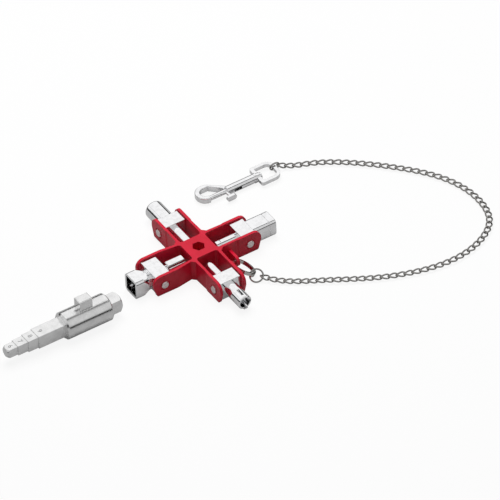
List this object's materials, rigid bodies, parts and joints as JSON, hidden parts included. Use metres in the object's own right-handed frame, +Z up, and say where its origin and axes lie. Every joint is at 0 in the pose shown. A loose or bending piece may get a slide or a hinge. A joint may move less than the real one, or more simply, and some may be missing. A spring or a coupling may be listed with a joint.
{
  "type": "multi utility key",
  "caption": "Cross-shaped utility key with pivoting socket keys in forked arms, a curb chain with a swivel snap hook, and a loose stepped square bit.",
  "frame": {"origin": "centre of the cross on its underside", "axes": "+Z up out of the table, -X along the arm with the large square key, +Y along the arm with the triangle key"},
  "size_m": [0.3036, 0.138, 0.0234],
  "materials": {
    "red_paint": "glossy red powder coat on cast zinc",
    "chrome": "bright chrome plate",
    "rivet_steel": "plain bright steel",
    "wire_nickel": "dark nickel plated wire",
    "spring_steel": "plain spring wire",
    "satin_steel": "satin nickel plate"
  },
  "bodies": {
    "cross": {"cross_body": "red_paint", "rivet_square": "rivet_steel", "rivet_double_bit": "rivet_steel", "rivet_small_square": "rivet_steel", "rivet_triangle": "rivet_steel", "split_ring": "wire_nickel", "jump_ring": "wire_nickel", "chain": "wire_nickel", "swivel_ring": "chrome", "stepped_bit": "satin_steel", "bit_sleeve": "satin_steel", "bit_lug": "satin_steel"},
    "large_key": {"square_key": "chrome", "square_key_pin": "chrome"},
    "tube_key": {"double_bit_key": "chrome"},
    "small_key": {"small_square_key": "chrome"},
    "round_key": {"triangle_key": "chrome"},
    "hook": {"snap_hook": "chrome", "swivel_pin": "chrome", "gate_spring": "spring_steel"},
    "gate": {"gate_bolt": "chrome", "gate_knob": "chrome"}
  },
  "joints": [
    {"name": "large_key_turn", "type": "hinge", "parent": "cross", "child": "large_key", "pos_m": [-0.0299, 0, 0.0066], "axis": [0, 1, 0], "continuous": true},
    {"name": "tube_key_turn", "type": "hinge", "parent": "cross", "child": "tube_key", "pos_m": [0, -0.0299, 0.0066], "axis": [1, 0, 0], "continuous": true},
    {"name": "small_key_turn", "type": "hinge", "parent": "cross", "child": "small_key", "pos_m": [0.0299, 0, 0.0066], "axis": [0, 1, 0], "continuous": true},
    {"name": "round_key_turn", "type": "hinge", "parent": "cross", "child": "round_key", "pos_m": [0, 0.0299, 0.0066], "axis": [1, 0, 0], "continuous": true},
    {"name": "hook_swivel", "type": "hinge", "parent": "cross", "child": "hook", "pos_m": [0.0657, 0.0416, 0.0031], "axis": [1, 0, 0], "continuous": true},
    {"name": "gate_slide", "type": "slide", "parent": "hook", "child": "gate", "axis": [1, 0, 0], "range_m": [0, 0.0055], "stiffness_N_per_m": 400, "springref_m": -0.004, "deforming": ["gate_spring"]}
  ]
}
